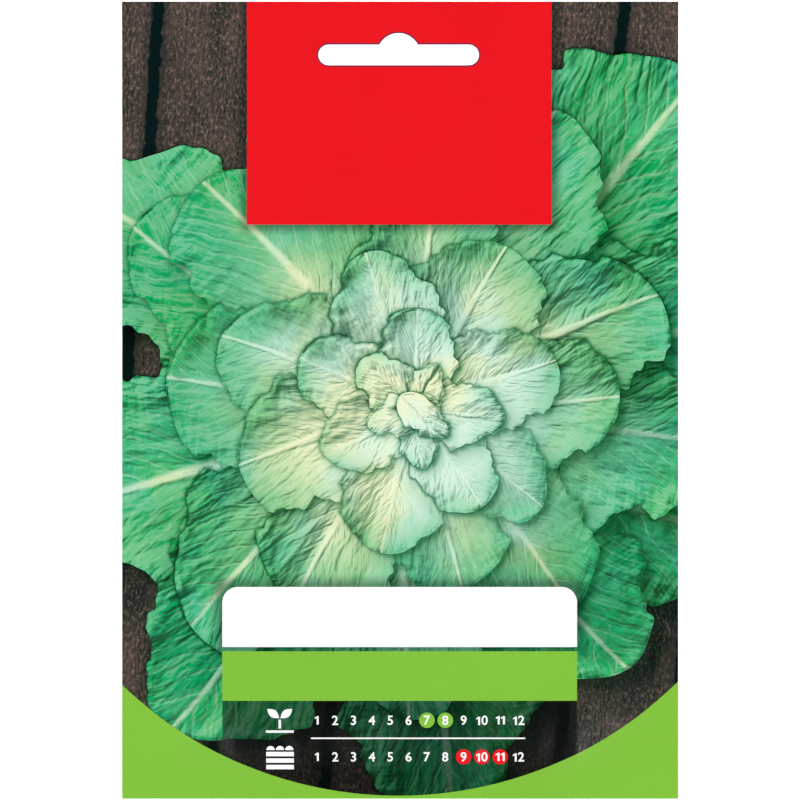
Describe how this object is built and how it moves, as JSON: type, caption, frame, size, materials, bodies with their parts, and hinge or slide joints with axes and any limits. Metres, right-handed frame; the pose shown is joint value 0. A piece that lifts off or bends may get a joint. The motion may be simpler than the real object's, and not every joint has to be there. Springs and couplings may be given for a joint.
{
  "type": "seed packet",
  "caption": "Flat, filled sachet of chicory seed: two printed laminate webs heat-sealed all round, with a long hang slot through the stiff header.",
  "frame": {"origin": "middle of the packet's outline, on the surface that its back lies on", "axes": "+Y up the packet, from its foot towards the hang slot; +Z out of the printed front; +X to the right of someone reading the front"},
  "size_m": [0.1106, 0.1586, 0.0049],
  "materials": {
    "printed_laminate": "satin",
    "back_laminate": "satin",
    "chicory_seed": "matte"
  },
  "bodies": {
    "root": {"front_web": "printed_laminate", "back_web": "back_laminate", "seed_charge": "chicory_seed"}
  },
  "joints": []
}
